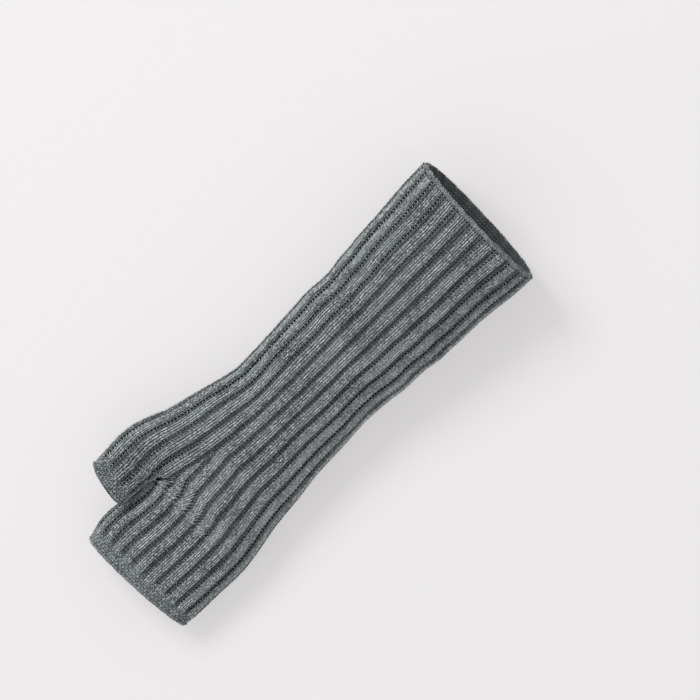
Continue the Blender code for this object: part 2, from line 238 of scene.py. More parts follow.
def thumb_oval(level):
    across, width, depth, slant, height = smooth_between(THUMB, level)
    return (across, height), (width / 2.0, depth / 2.0), slant


def even_samples(points, count, closed):
    """Points spaced evenly along an outline, from its first point."""
    if closed:
        points = np.vstack([points, points[:1]])
    runs = runs_along(points)
    return columns_at(points, runs, np.linspace(0.0, runs[-1], count + 1)), runs[-1]


def even_halves(first, second, columns):
    """A chart row in two evenly spaced halves that meet at the tube's outer side."""
    halves = [even_samples(half, columns // 2, False)[0] for half in (first, second)]
    return np.vstack([halves[0], halves[1][1:]])


def oval_outline(centre, half, start_turn, sweep=math.tau):
    """A stretch of an oval's outline with its flattened underside, from a starting turn."""
    turns = start_turn + np.linspace(0.0, sweep, OUTLINE_POINTS, endpoint=sweep < math.tau)
    points = np.stack([centre[0] + half[0] * np.cos(turns), centre[1] + half[1] * np.sin(turns)],
                      axis=1)
    points[:, 1] = np.maximum(points[:, 1], 0.0)
    return points


def closed_ring(oval, crotch_turn, edge_turn, columns):
    """A closed tube's row, from the crotch round over its outer side and back."""
    centre, half, _ = oval
    first = oval_outline(centre, half, crotch_turn, edge_turn - crotch_turn)
    second = oval_outline(centre, half, edge_turn, crotch_turn + math.tau - edge_turn)
    return even_halves(first, second, columns)


def ray_reach(origin, aims, centre, half):
    """How far rays from a point inside an oval run to its outline."""
    start = (np.array(origin) - centre) / half
    rays = aims / np.array(half)
    a = (rays * rays).sum(1)
    b = rays @ start
    return (-b + np.sqrt(np.maximum(b * b - a * (start @ start - 1.0), 0.0))) / a


def joined_outline(level):
    """The outline round both tubes, from its rightmost side, and its two creases."""
    trunk_centre, trunk_half, _ = trunk_oval(level)
    thumb_centre, thumb_half, _ = thumb_oval(level)
    trunk_points = oval_outline(trunk_centre, trunk_half, 0.0)
    off = (trunk_points - thumb_centre) / thumb_half
    inside = (off * off).sum(1) < 1.0
    origin, creases = trunk_centre, None
    if inside.any():
        crossings = np.nonzero(inside[1:] != inside[:-1])[0]
        creases = trunk_points[[crossings[0], crossings[-1]]]
        origin = creases.mean(0)
    turns = np.linspace(0.0, math.tau, 2 * OUTLINE_POINTS, endpoint=False)
    aims = np.stack([np.cos(turns), np.sin(turns)], axis=1)
    reach = ray_reach(origin, aims, trunk_centre, trunk_half)
    if creases is not None:
        reach = np.maximum(reach, ray_reach(origin, aims, thumb_centre, thumb_half))
    outline, length = even_samples(np.array(origin) + aims * reach[:, None],
                                   OUTLINE_POINTS, True)
    outline = outline[:-1]
    waves = np.fft.fft(outline[:, 0] + 1j * outline[:, 1])
    pitch = np.fft.fftfreq(len(waves), length / len(waves))
    fine, broad = [np.fft.ifft(waves * np.exp(-2.0 * (math.pi * size * pitch) ** 2))
                   for size in (FILLET, WEB_FILLET)]
    web = np.zeros(len(fine))
    if creases is not None:
        for crease in creases:
            gap = np.linalg.norm(outline - crease, axis=1)
            web = np.maximum(web, np.exp(-0.5 * (gap / WEB_REACH) ** 2))
    web *= smoothstep((level - MEET_LEVEL) / WEB_START)
    web *= smoothstep((WEB_END - level) / WEB_FADE)
    outline = fine + (broad - fine) * web
    outline = np.stack([outline.real, outline.imag], axis=1)
    outline[:, 1] = np.maximum(outline[:, 1], 0.0)
    right = outline[:, 0] > trunk_centre[0]
    start = np.argmin(np.abs(outline[:, 1] - trunk_centre[1]) + np.where(right, 0.0, 1e3))
    return np.roll(outline, -start, axis=0), creases, trunk_centre


def split_outline(level):
    """The joined outline's hand part and thumb part, each as evenly spaced points."""
    outline, creases, centre = joined_outline(level)
    count = len(outline)
    loop = np.vstack([outline, outline, outline[:1]])
    across = np.interp(level, THUMB_LINE_LEVELS, THUMB_LINE_ACROSS)
    first = int(np.argmax((outline[:, 0] <= across) & (outline[:, 1] > centre[1])))
    second = first + count * THUMB_WALES / (THUMB_WALES + TRUNK_WALES)
    if creases is not None:
        top = np.argmin(np.linalg.norm(outline - creases[0], axis=1))
        bottom = np.argmin(np.linalg.norm(outline - creases[1], axis=1))
        top_pull, bottom_pull = [smoothstep((MEET_LEVEL + end - level) / soft)
                                 for end, soft in (TOP_PULL, BOTTOM_PULL)]
        first = first + (top - first) * top_pull
        second = second + (bottom - second) * bottom_pull
    first, second = int(round(first)), int(round(second))
    left = int(np.argmin(outline[:, 0]))
    hand = even_halves(loop[second:count + 1], loop[count:count + first + 1], HAND_COLUMNS)
    thumb = even_halves(loop[first:left + 1], loop[left:second + 1], THUMB_COLUMNS)
    return hand, thumb


def with_slant(points, level, oval):
    """Turns an outline's (across, height) points into (across, level, height)."""
    centre, _, slant = oval
    rows = level + slant * (points[:, 0] - centre[0])
    return np.stack([points[:, 0], rows, points[:, 1]], axis=1)


def build_charts():
    """Grids of surface points: rows by level, columns round the hand part and thumb part."""
    hand_rows, thumb_rows = [], []
    for level in np.arange(0.0, GLOVE_LENGTH + 0.01, LEVEL_STEP):
        trunk, tube = trunk_oval(level), thumb_oval(level)
        ring = closed_ring(trunk, HAND_CROTCH_TURN, math.tau, HAND_COLUMNS)
        hand = with_slant(ring, level, trunk)
        ring = closed_ring(tube, THUMB_CROTCH_TURN, math.pi, THUMB_COLUMNS)
        thumb = with_slant(ring, level, tube)
        if level > MEET_LEVEL:
            part = smoothstep((level - MEET_LEVEL) / BLEND_LENGTH)
            joined_hand, joined_thumb = [with_slant(row, level, trunk)
                                         for row in split_outline(level)]
            hand = ring_at_wales(hand, level)
            hand = hand + (joined_hand - hand) * part
            thumb = thumb + (joined_thumb - thumb) * part
            pull_ends_together(hand, thumb)
        hand_rows.append(hand)
        if level >= THUMB_CHART_START:
            thumb_rows.append(thumb)
    return np.array(hand_rows), np.array(thumb_rows)


def ring_at_wales(ring, level):
    """The closed hand ring's points for just the wales that are there at a level."""
    columns = np.linspace(0.0, 1.0, len(ring))
    halves = (0.0, 0.5, 1.0)
    low, high = hand_range(level)
    first, last = hand_range(MEET_LEVEL)
    wales = np.interp(columns, halves, (low, HAND_EDGE_WALE, high))
    shares = np.interp(wales, (first, HAND_EDGE_WALE, last), halves)
    return columns_at(ring, columns, shares)


def pull_ends_together(hand, thumb):
    """Makes the hand part and the thumb part of one row share their two end points."""
    top = (hand[-1] + thumb[0]) / 2.0
    bottom = (hand[0] + thumb[-1]) / 2.0
    for row, first, last in ((hand, bottom, top), (thumb, top, bottom)):
        share = np.linspace(0.0, 1.0, len(row))
        reach = PULLED_WALES * THUMB_COLUMNS / THUMB_WALES / len(row)
        near_first = (1.0 - smoothstep(share / reach))[:, None]
        near_last = (1.0 - smoothstep((1.0 - share) / reach))[:, None]
        row += near_first * (first - row[0]) + near_last * (last - row[-1])


def soften(points):
    """Gentle swells and wrinkles, as a worn knit tube has."""
    x, y, z = points[..., 0], points[..., 1], points[..., 2]
    free = smoothstep(z / 12.0)
    swell = 0.30 * np.sin(0.083 * y + 0.04 * x + 1.1) + 0.25 * np.sin(0.151 * y - 0.07 * z + 0.4)
    wrinkle = np.exp(-((y - 205.0) / 22.0) ** 2) * np.sin(0.27 * y + 0.8 * np.sin(0.11 * y)) * 0.45
    points[..., 0] += free * (swell + wrinkle) * np.sign(x) * smoothstep(np.abs(x) / 25.0)
    points[..., 2] += free * 0.6 * swell
    return points


def chart_normals(hand, thumb):
    """Outward normals of both charts, agreeing where the charts meet or close."""
    found = []
    for grid in (hand, thumb):
        found.append(unit(np.cross(np.gradient(grid, axis=0), np.gradient(grid, axis=1))))
    hand_normal, thumb_normal = found
    skip = len(hand) - len(thumb)
    fork_row = int(MEET_LEVEL / LEVEL_STEP)
    for row in range(len(hand)):
        if row <= fork_row:
            pairs = [((hand_normal, row, 0), (hand_normal, row, -1))]
            if row >= skip:
                pairs.append(((thumb_normal, row - skip, 0), (thumb_normal, row - skip, -1)))
        else:
            pairs = [((hand_normal, row, -1), (thumb_normal, row - skip, 0)),
                     ((hand_normal, row, 0), (thumb_normal, row - skip, -1))]
        for (one, i, j), (other, k, m) in pairs:
            one[i, j] = other[k, m] = unit(one[i, j] + other[k, m])
    return hand_normal, thumb_normal


def hand_range(level):
    """First and last wale of the hand's part: the gusset adds wales towards the fork."""
    return (-np.interp(level, BACK_GUSSET_LEVELS, BACK_GUSSET_WALES),
            TRUNK_WALES + np.interp(level, PALM_GUSSET_LEVELS, PALM_GUSSET_WALES))


def thumb_range(level):
    return np.zeros_like(level), np.full_like(level, THUMB_WALES)


def in_rib(wale):
    return np.mod(wale, RIB_WALES)


def squeezed(wale, knit_share):
    """A wale position after the purl columns are squeezed to their share of the rib."""
    valley = (1.0 - knit_share) / 2.0
    rib = np.floor(wale / RIB_WALES)
    place = in_rib(wale)
    low = place * valley
    high = 1.0 - (RIB_WALES - place) * valley
    middle = valley + (place - 1.0) * (1.0 - 2.0 * valley) / (RIB_WALES - 2.0)
    share = np.where(place < 1.0, low, np.where(place > RIB_WALES - 1.0, high, middle))
    return (rib + share) * RIB_WALES


def unsqueezed(squeezed_wale, knit_share):
    """The wale that lies at a squeezed position."""
    valley = (1.0 - knit_share) / 2.0
    rib = np.floor(squeezed_wale / RIB_WALES)
    share = squeezed_wale / RIB_WALES - rib
    low = share / valley
    high = RIB_WALES - (1.0 - share) / valley
    middle = 1.0 + (share - valley) * (RIB_WALES - 2.0) / (1.0 - 2.0 * valley)
    place = np.where(share < valley, low, np.where(share > 1.0 - valley, high, middle))
    return rib * RIB_WALES + place


class Chart:
    """One surface chart of the knit, read at any level and share of its width."""

    def __init__(self, start, points, normals, range_at, edge_wale, end_level):
        self.start, self.points, self.normals = start, points, normals
        self.range_at, self.edge_wale, self.end_level = range_at, edge_wale, end_level
        self.along = np.gradient(points, axis=0) / LEVEL_STEP
        self.round = np.gradient(points, axis=1) * (points.shape[1] - 1)

    def read(self, grid, levels, shares):
        row = np.clip((levels - self.start) / LEVEL_STEP, 0.0, grid.shape[0] - 1.001)
        column = np.clip(shares, 0.0, 1.0) * (grid.shape[1] - 1)
        i = row.astype(int)
        j = np.minimum(column.astype(int), grid.shape[1] - 2)
        a, b = (row - i)[:, None], (column - j)[:, None]
        return ((1 - a) * ((1 - b) * grid[i, j] + b * grid[i, j + 1])
                + a * ((1 - b) * grid[i + 1, j] + b * grid[i + 1, j + 1]))

    def ends(self, level):
        """Squeezed positions of a row's first wale, its outer side's wale and its last wale."""
        knit_share = np.interp(level, KNIT_SHARE_LEVELS, KNIT_SHARES)
        low, high = self.range_at(level)
        return [squeezed(wale, knit_share) for wale in (low, self.edge_wale, high)], knit_share

    def shares(self, wale, level):
        """Where wales lie across a row, whose middle column is the outer side."""
        (first, edge, last), knit_share = self.ends(level)
        at = squeezed(wale, knit_share)
        return np.where(at < edge, 0.5 * (at - first) / (edge - first),
                        0.5 + 0.5 * (at - edge) / (last - edge))

    def wales(self, share, level):
        """The wales that lie at given shares of a row."""
        (first, edge, last), knit_share = self.ends(level)
        at = np.where(share < 0.5, first + 2.0 * share * (edge - first),
                      edge + (2.0 * share - 1.0) * (last - edge))
        return unsqueezed(at, knit_share)

    def relief(self, level):
        """How deep the valleys are; the welt at the tube's end is nearly even."""
        even = smoothstep((level - self.end_level - 5.0) / 5.0)
        return (np.interp(level, RELIEF_LEVELS, RELIEF_DEPTHS)
                * (WELT_RELIEF + (1.0 - WELT_RELIEF) * even))

    def height(self, wale, level):
        """The knit against the chart: domed crests, purl valleys and the thumb line."""
        low, high = self.range_at(level)
        place = in_rib(wale)
        from_valley = np.minimum(place, RIB_WALES - place)
        crest = smoothstep((from_valley - SHOULDER) / SLOPE)
        dome = CREST_DOME * (1.0 - from_valley / (RIB_WALES / 2.0)) ** 2
        gathered = smoothstep(np.minimum(wale - low, high - wale) / GATHER)
        return -self.relief(level) * (1.0 - crest * gathered) - dome


# ---- yarn lines ----
def loop_run(chart, level, course, seed_pattern=False, ring=False):
    """One course's points on a chart, with what each loop needs to be shaped."""
    low, high = (float(end) for end in chart.range_at(level))
    first, last = math.ceil(low * POINTS_PER_LOOP), math.floor(high * POINTS_PER_LOOP)
    number = np.arange(first, last + (0 if ring else 1))
    wale = number / POINTS_PER_LOOP
    levels = np.full_like(wale, level)
    shares = chart.shares(wale, levels)
    width = chart.shares(wale + 0.5, levels) - chart.shares(wale - 0.5, levels)
    outward = unit(chart.read(chart.normals, levels, shares))
    height = chart.height(wale, level) - YARN_SINK
    column = np.floor(wale).astype(int)
    if seed_pattern:
        faces = np.where((column + course) % 2 == 0, 1.0, -1.0)
    else:
        faces = np.where((in_rib(column + 0.5) > 1.0) & (in_rib(column + 0.5) < 5.0), 1.0, -1.0)
    between = number % POINTS_PER_LOOP == 0
    faces = np.where(between, (faces + np.roll(faces, 1)) / 2.0, faces)
    phase = (wale - column) * math.tau
    across = chart.read(chart.round, levels, shares) * width[:, None]
    return {
        "place": (chart.read(chart.points, levels, shares) + outward * height[:, None]
                  + across * (LEG_LEAN * np.sin(phase))[:, None]),
        "across": across,
        "upward": chart.read(chart.along, levels, shares) * COURSE,
        "outward": outward,
        "face": faces,
        "phase": phase,
    }


def join_runs(runs):
    return {key: np.concatenate([run[key] for run in runs]) for key in runs[0]}


def chain_links(places, steps, sides, outs, width):
    """A chain of stitches: each link is one short open run of yarn that loops into the next."""
    phases = np.linspace(-0.25, 1.25, 11) * math.tau
    ones = np.ones((len(phases), 1))
    links = []
    for place, step, side, out in zip(places, steps, sides, outs):
        drift = (phases / math.tau - 0.5)[:, None] * width * side
        links.append({
            "place": place + drift,
            "across": ones * side * width,
            "upward": ones * step,
            "outward": ones * out,
            "face": np.ones(len(phases)),
            "phase": phases,
        })
    return links


def edge_links(chart, level, down, width):
    """The bound-off chain along an opening's edge, one link to a wale."""
    low, high = (float(end) for end in chart.range_at(level))
    whole = int(round(high - low))
    middles = (np.arange(whole) + 0.5) / whole
    levels = np.full_like(middles, level)
    outward = unit(chart.read(chart.normals, levels, middles))
    off_edge = chart.read(chart.along, levels, middles) * down
    height = chart.height(chart.wales(middles, levels), level)[:, None] - EDGE_SINK
    return chain_links(chart.read(chart.points, levels, middles) + outward * height
                       + off_edge * EDGE_RISE,
                       chart.read(chart.round, levels, middles) / whole,
                       0.8 * outward - 0.6 * off_edge, 0.6 * outward + 0.8 * off_edge, width)


def oval_inner_point(oval, level, turn, inset):
    """A point inside a tube, this far in from its outside, at a turn from the +X side."""
    centre, half, slant = oval(level)
    x = centre[0] + (half[0] - inset) * math.cos(turn)
    z = max(centre[1] + (half[1] - inset) * math.sin(turn), inset)
    return np.array([x, level + slant * (x - centre[0]), z])


def seam_links(oval, low, high, turn, inset, out):
    """A linking seam up the inside of a tube, as a chain of stitches."""
    levels = np.arange(low, high, SEAM_STITCH)
    path = np.array([oval_inner_point(oval, level, turn, inset) for level in levels])
    steps = np.gradient(path, axis=0)
    count = len(path)
    return chain_links(path, steps, np.tile((0.0, 0.0, 1.0), (count, 1)),
                       np.tile((out, 0.0, 0.0), (count, 1)), SEAM_WIDTH)


def plied_strands(path, strands, spread, lay):
    """Strands wound round a path, as bare lines with nothing to loop."""
    runs = runs_along(path)
    along = unit(np.gradient(path, axis=0))
    side = unit(np.cross(along, ASIDE))
    other = np.cross(along, side)
    lines = []
    for k in range(strands):
        turn = (runs / lay + k / strands) * math.tau
        place = path + spread * (np.cos(turn)[:, None] * side + np.sin(turn)[:, None] * other)
        still = np.zeros_like(place)
        lines.append({"place": place, "across": still, "upward": still, "outward": still,
                      "face": np.zeros(len(runs)), "phase": np.zeros(len(runs))})
    return lines


def yarn_end_path(oval, level, start, sweep, inset):
    """Where a yarn end is darned in along the inside of an opening."""
    share = np.linspace(0.0, 1.0, 90)
    return np.array([
        oval_inner_point(oval, level + 0.8 * math.sin(9.0 * part), math.radians(start + sweep * part),
                         inset + 0.3 * math.sin(23.0 * part)) for part in share])


def yarn_base(name, lines, closed):
    """A mesh of bare lines in metres that carries the loops' directions as attributes."""
    mesh = bpy.data.meshes.new(name + "_lines")
    data = join_runs(lines)
    count = len(data["phase"])
    edges, start = [], 0
    for line in lines:
        size = len(line["phase"])
        index = np.arange(start, start + size)
        pairs = np.stack([index, np.roll(index, -1)], axis=1)
        edges.append(pairs if closed else pairs[:-1])
        start += size
    edges = np.concatenate(edges)
    mesh.vertices.add(count)
    mesh.edges.add(len(edges))
    mesh.vertices.foreach_set("co", ((data["place"] + SHIFT) * MM).astype(np.float32).ravel())
    mesh.edges.foreach_set("vertices", edges.astype(np.int32).ravel())
    # Painted shade, stored as the 'shade' attribute: the purl columns' hollows and the loops' heads
    # and feet, which lie deeper than their legs, are coloured darker.
    painted_shade_behind_legs = np.abs(data["face"]) * np.sqrt((1.0 + np.cos(2.0 * data["phase"])) / 2.0)
    data["shade"] = np.maximum(PURL_HOLLOW_PAINTED_SHADE * np.maximum(-data["face"], 0.0), LOOP_PAINTED_SHADE * painted_shade_behind_legs)
    for key, kind, scale in (("across", "FLOAT_VECTOR", MM), ("upward", "FLOAT_VECTOR", MM),
                             ("outward", "FLOAT_VECTOR", 1.0), ("face", "FLOAT", 1.0),
                             ("phase", "FLOAT", 1.0), ("shade", "FLOAT", 1.0)):
        layer = mesh.attributes.new(key, kind, "POINT")
        field = "value" if kind == "FLOAT" else "vector"
        layer.data.foreach_set(field, (data[key] * scale).astype(np.float32).ravel())
    mesh.update()
    return in_scene(name, mesh)


class Wiring:
    """Short ways to add nodes to a tree. Inputs are given in order or by name."""

    def __init__(self, tree):
        self.nodes, self.links = tree.nodes, tree.links

    def plug(self, socket, value):
        if isinstance(value, bpy.types.NodeSocket):
            self.links.new(value, socket)
        elif value is not None:
            socket.default_value = value

    def add(self, kind, *values, named=None, **settings):
        """A new node's outputs, with its settings made and its inputs plugged."""
        node = self.nodes.new(kind)
        for key, value in settings.items():
            setattr(node, key, value)
        for socket, value in zip(node.inputs, values):
            self.plug(socket, value)
        for label, value in (named or {}).items():
            self.plug(node.inputs[label], value)
        return node.outputs

    def math(self, operation, one, two=None):
        return self.add("ShaderNodeMath", one, two, operation=operation)[0]

    def times(self, one, two):
        return self.math("MULTIPLY", one, two)

    def plus(self, one, two):
        return self.math("ADD", one, two)

    def cosine(self, angle):
        return self.math("COSINE", angle)

    def sine(self, angle):
        return self.math("SINE", angle)

    def vector(self, operation, one, two=None, **named):
        return self.add("ShaderNodeVectorMath", one, two, operation=operation, named=named)[0]

    def stretch(self, source, low, high, to_low=0.0, to_high=1.0):
        return self.add("ShaderNodeMapRange", source, low, high, to_low, to_high)["Result"]

    def mix(self, factor, one, two):
        node = self.nodes.new("ShaderNodeMix")
        node.data_type = "RGBA"
        for index, value in ((0, factor), (6, one), (7, two)):
            self.plug(node.inputs[index], value)
        return node.outputs[2]

    def noise(self, vector, scale, detail=2.0, roughness=0.5):
        return self.add("ShaderNodeTexNoise", named={
            "Vector": vector, "Scale": scale, "Detail": detail, "Roughness": roughness})["Fac"]

    def scaled(self, vector, amounts):
        return self.add("ShaderNodeMapping",
                        named={"Vector": vector, "Scale": amounts})["Vector"]

    def parts(self, vector):
        return self.add("ShaderNodeSeparateXYZ", vector)

    def attribute(self, label):
        return self.add("ShaderNodeAttribute", attribute_name=label)

    def object_place(self):
        return self.add("ShaderNodeTexCoord")["Object"]

    def map_place(self, label):
        return self.add("ShaderNodeUVMap", uv_map=label)[0]

    def group(self, group, **inputs):
        named = {label.replace("_", " ").title(): value for label, value in inputs.items()}
        return self.add("ShaderNodeGroup", node_tree=group, named=named)

    def carried(self, label, kind):
        """An attribute that the bare lines carry."""
        return self.add("GeometryNodeInputNamedAttribute", data_type=kind,
                        named={"Name": label})["Attribute"]

    def stored(self, label, kind, geometry, value):
        return self.add("GeometryNodeStoreNamedAttribute", data_type=kind, domain="POINT",
                        named={"Geometry": geometry, "Name": label, "Value": value})[0]


def new_tree(name, kind, inputs, outputs):
    """A node tree with its sockets, its wiring, what enters it and what leaves it."""
    tree = bpy.data.node_groups.new(name, kind)
    for label, socket_kind, *value in inputs:
        socket = tree.interface.new_socket(label, in_out="INPUT",
                                           socket_type="NodeSocket" + socket_kind)
        if value:
            socket.default_value = value[0]
    for label, socket_kind in outputs:
        tree.interface.new_socket(label, in_out="OUTPUT", socket_type="NodeSocket" + socket_kind)
    wire = Wiring(tree)
    leave = tree.nodes.new("NodeGroupOutput").inputs
    return tree, wire, wire.add("NodeGroupInput"), leave


def knit_loop_tree():
    """Geometry Nodes that bend bare course lines into knit loops and give them a round yarn."""
    tree, wire, enter, leave = new_tree(
        "knit_loops", "GeometryNodeTree",
        [("Geometry", "Geometry"), ("Loop Width", "Float", LOOP_WIDTH),
         ("Loop Height", "Float", LOOP_HEIGHT), ("Loop Depth", "Float", LOOP_DEPTH * MM),
         ("Yarn Radius", "Float", YARN_RADIUS * MM), ("Looseness", "Float", 0.10 * MM),
         ("Thick And Thin", "Float", 0.12), ("Seed", "Float", 3.0),
         ("Yarn Sides", "Int", YARN_SIDES), ("Yarn", "Material")],
        [("Geometry", "Geometry")])

    phase = wire.carried("phase", "FLOAT")
    double = wire.times(phase, 2.0)
    sideways = wire.times(wire.sine(double), enter["Loop Width"])
    lengthways = wire.times(wire.cosine(phase), enter["Loop Height"])
    deep = wire.times(wire.cosine(double), enter["Loop Depth"])
    deep = wire.times(wire.times(deep, -1.0), wire.carried("face", "FLOAT"))
    unevenness = wire.add("ShaderNodeTexNoise", noise_dimensions="4D", named={
        "Vector": wire.add("GeometryNodeInputPosition")[0], "W": enter["Seed"],
        "Scale": 420.0, "Detail": 1.0})
    centred = wire.vector("SUBTRACT", unevenness["Color"], (0.5, 0.5, 0.5))
    shift = wire.vector("SCALE", centred, Scale=wire.times(enter["Looseness"], 4.0))
    for label, amount in (("across", sideways), ("upward", lengthways), ("outward", deep)):
        step = wire.vector("SCALE", wire.carried(label, "FLOAT_VECTOR"), Scale=amount)
        shift = wire.vector("ADD", shift, step)
    moved = wire.add("GeometryNodeSetPosition", enter["Geometry"], named={"Offset": shift})[0]

    spread = wire.times(wire.math("SUBTRACT", unevenness["Fac"], 0.5),
                       wire.times(enter["Thick And Thin"], 4.0))
    curve = wire.add("GeometryNodeMeshToCurve", moved)[0]
    curve = wire.add("GeometryNodeSetCurveRadius", curve,
                     named={"Radius": wire.plus(spread, 1.0)})[0]
    ring = wire.add("GeometryNodeCurvePrimitiveCircle",
                    named={"Resolution": enter["Yarn Sides"], "Radius": enter["Yarn Radius"]})[0]
    spine = wire.stored("yarn_run", "FLOAT", curve,
                        wire.add("GeometryNodeSplineParameter")["Length"])
    profile = wire.stored("yarn_round", "FLOAT_VECTOR", ring,
                          wire.vector("NORMALIZE", wire.add("GeometryNodeInputPosition")[0]))
    made = wire.add("GeometryNodeCurveToMesh", named={
        "Curve": spine, "Profile Curve": profile, "Fill Caps": True,
        "Scale": wire.carried("radius", "FLOAT")})[0]
    for step in ("RealizeInstances", "SetShadeSmooth"):
        made = wire.add("GeometryNode" + step, made)[0]
    made = wire.add("GeometryNodeSetMaterial", made, named={"Material": enter["Yarn"]})[0]
    wire.plug(leave["Geometry"], made)
    return tree


def set_input(modifier, label, value):
    for item in modifier.node_group.interface.items_tree:
        if item.item_type == "SOCKET" and item.in_out == "INPUT" and item.name == label:
            modifier[item.identifier] = value


def baked_mesh(piece, name):
    """The piece's evaluated shape as a plain mesh object at the origin."""
    graph = bpy.context.evaluated_depsgraph_get()
    mesh = bpy.data.meshes.new_from_object(piece.evaluated_get(graph))
    lines = piece.data
    bpy.data.objects.remove(piece, do_unlink=True)
    bpy.data.meshes.remove(lines)
    mesh.name = name
    return in_scene(name, mesh)


def keep_above_floor(mesh):
    """Presses anything below the glove's resting plane flat onto it."""
    places = np.zeros(3 * len(mesh.vertices), np.float32)
    mesh.vertices.foreach_get("co", places)
    places[2::3] = np.maximum(places[2::3], 0.0)
    mesh.vertices.foreach_set("co", places)
    mesh.update()


def strip_map(mesh, sides):
    """Lays every face of a yarn mesh in rows of one map, in the order they were made."""
    faces = len(mesh.polygons)
    sizes = np.zeros(faces, np.int32)
    mesh.polygons.foreach_get("loop_total", sizes)
    starts = np.zeros(faces, np.int32)
    mesh.polygons.foreach_get("loop_start", starts)
    number = np.arange(faces)
    step, lane = number // sides, number % sides
    per_row = int(math.ceil(math.sqrt(faces)))
    row = (step // per_row) * sides + lane
    rows = (int(step.max()) // per_row + 1) * sides
    corners = np.zeros((len(mesh.loops), 2), np.float32)
    margin = 0.04
    around = np.array([(0, 0), (0, 1), (1, 1), (1, 0)], float) * (1.0 - 2.0 * margin) + margin
    for k in range(int(sizes.max())):
        has = sizes > k
        spot = starts[has] + k
        corners[spot, 0] = ((step % per_row)[has] + around[k % 4, 0]) / per_row
        corners[spot, 1] = (row[has] + around[k % 4, 1]) / rows
    layer = mesh.uv_layers.new(name="OFBake")
    layer.data.foreach_set("uv", corners.ravel())


def knit_piece(kit, name, lines, slot, closed=False, **sizes):
    """Yarn loops along the given lines, as one plain mesh piece of its slot's yarn."""
    piece = yarn_base(name, lines, closed)
    modifier = piece.modifiers.new("knit_loops", "NODES")
    modifier.node_group = kit["loops"]
    set_input(modifier, "Yarn", kit[slot])
    for label, value in sizes.items():
        set_input(modifier, label.replace("_", " ").title(), value)
    piece = baked_mesh(piece, name)
    keep_above_floor(piece.data)
    strip_map(piece.data, sizes.get("yarn_sides", YARN_SIDES))
    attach(piece, "root")
    return piece


# ---- materials ----
def heather_group():
    """Melange wool: pale and dark fibres carded together, in flecks and slow shade changes."""
    group, wire, enter, leave = new_tree(
        "heather_wool", "ShaderNodeTree",
        [("Place", "Vector"), ("Dark", "Color"), ("Middle", "Color"), ("Light", "Color"),
         ("Fleck Scale", "Float", 1250.0), ("Cloud Scale", "Float", 90.0),
         ("Light Share", "Float", 0.5)],
        [("Color", "Color"), ("Fleck", "Float")])
    fleck = wire.noise(enter["Place"], enter["Fleck Scale"], 2.0, 0.55)
    shifted = wire.vector("ADD", enter["Place"], (3.1, 1.7, 0.6))
    second = wire.noise(shifted, wire.times(enter["Fleck Scale"], 0.8), 2.0)
    cloud = wire.noise(enter["Place"], enter["Cloud Scale"], 2.0)
    shade = wire.stretch(cloud, 0.3, 0.7, 0.25, 1.0)
    colour = wire.mix(shade, enter["Dark"], enter["Middle"])
    colour = wire.mix(wire.stretch(second, 0.44, 0.30, 0.0, 0.8), colour, enter["Dark"])
    start = wire.math("SUBTRACT", 0.72, wire.times(enter["Light Share"], 0.28))
    pale = wire.stretch(fleck, start, wire.plus(start, 0.14))
    colour = wire.mix(pale, colour, enter["Light"])
    wire.plug(leave["Color"], colour)
    wire.plug(leave["Fleck"], fleck)
    return group


def yarn_twist_group():
    """Relief of spun yarn: plies that wind round it, and the fibres that follow them."""
    group, wire, enter, leave = new_tree(
        "yarn_twist", "ShaderNodeTree",
        [("Round", "Vector"), ("Run", "Float"), ("Plies", "Float", 2.0),
         ("Lay", "Float", 0.0032), ("Fibre", "Float", 0.5)],
        [("Height", "Float"), ("Ply Groove Shade", "Float")])
    parts = wire.parts(enter["Round"])
    angle = wire.math("ARCTAN2", parts["Y"], parts["X"])
    turns = wire.times(wire.math("DIVIDE", enter["Run"], enter["Lay"]), math.tau)
    wound = wire.plus(angle, turns)
    wave = wire.cosine(wire.times(wound, enter["Plies"]))
    ply = wire.math("SQRT", wire.times(wire.plus(wave, 1.02), 0.5))
    place = wire.add("ShaderNodeCombineXYZ", wire.cosine(wound),
                     wire.sine(wound), wire.times(enter["Run"], 260.0))[0]
    fibre = wire.noise(place, 3.2, 2.0, 0.6)
    height = wire.plus(ply, wire.times(fibre, enter["Fibre"]))
    wire.plug(leave["Height"], height)
    # A mask for painted shade: the materials darken their colour between the plies with it.
    wire.plug(leave["Ply Groove Shade"], wire.math("SUBTRACT", 1.0, ply))
    return group


def stitch_relief_group():
    """Relief of a knit's back, from a map that counts wales and courses, and a mask of its gaps for
    painted shade.
    """
    group, wire, enter, leave = new_tree(
        "stitch_relief", "ShaderNodeTree", [("Count", "Vector")],
        [("Height", "Float"), ("Stitch Gap Shade", "Float")])
    parts = wire.parts(enter["Count"])
    wale, course = parts["X"], parts["Y"]
    sway = wire.times(wire.cosine(wire.times(wale, math.tau)), 0.25)
    line = wire.times(wire.plus(course, sway), math.tau)
    bump = wire.times(wire.plus(wire.cosine(line), 1.0), 0.5)
    across = wire.math("ABSOLUTE", wire.sine(wire.times(wale, math.tau / 2.0)))
    height = wire.times(bump, wire.plus(wire.times(across, 0.6), 0.4))
    wire.plug(leave["Height"], height)
    wire.plug(leave["Stitch Gap Shade"], wire.math("SUBTRACT", 1.0, height))
    return group


def new_material(name, finish):
    """A material with its fixed finish, its shader's inputs and the wiring for the rest."""
    material = bpy.data.materials.new(name)
    material.use_nodes = True
    inputs = material.node_tree.nodes["Principled BSDF"].inputs
    for label, value in finish.items():
        inputs[label].default_value = value
    return material, inputs, Wiring(material.node_tree)


def plain_wool(name, sheen):
    return new_material(name, {"Specular IOR Level": 0.25, "Sheen Weight": sheen,
                               "Sheen Roughness": 0.5, "Sheen Tint": (0.82, 0.86, 0.88, 1.0)})


def bump_into(wire, shader, height, strength, distance):
    bump = wire.add("ShaderNodeBump",
                    named={"Strength": strength, "Distance": distance, "Height": height})
    wire.plug(shader["Normal"], bump["Normal"])


